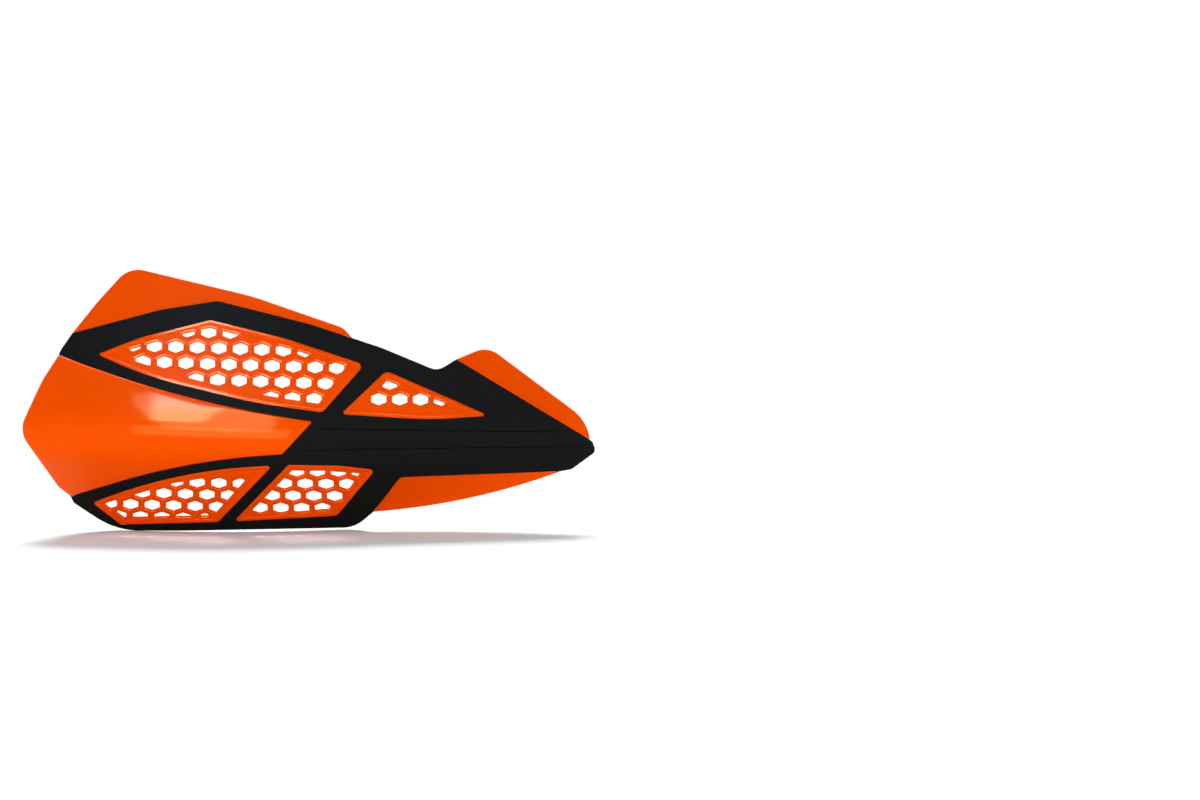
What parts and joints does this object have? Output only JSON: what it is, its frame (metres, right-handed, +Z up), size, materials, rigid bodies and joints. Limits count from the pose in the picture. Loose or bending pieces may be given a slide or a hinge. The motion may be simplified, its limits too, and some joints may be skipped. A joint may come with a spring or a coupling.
{
  "type": "motorcycle hand guard",
  "caption": "Motorcycle hand guard: an orange double-curved shell with honeycomb vents, a black moulded frame over it and a rear mounting face with threaded inserts.",
  "frame": {"origin": "on the mounting face at the back, midway between the two threaded inserts", "axes": "+X along the handlebar towards the pointed inner end, +Y back towards the rider's hand and out of the inserts, +Z up"},
  "size_m": [0.2862, 0.0681, 0.1298],
  "materials": {
    "shell": "glossy orange moulded plastic",
    "frame": "satin black moulded plastic with a fine grain",
    "insert": "turned and knurled brass"
  },
  "bodies": {
    "root": {"shell": "shell", "frame": "frame", "insert_outer": "insert", "insert_inner": "insert"}
  },
  "joints": []
}
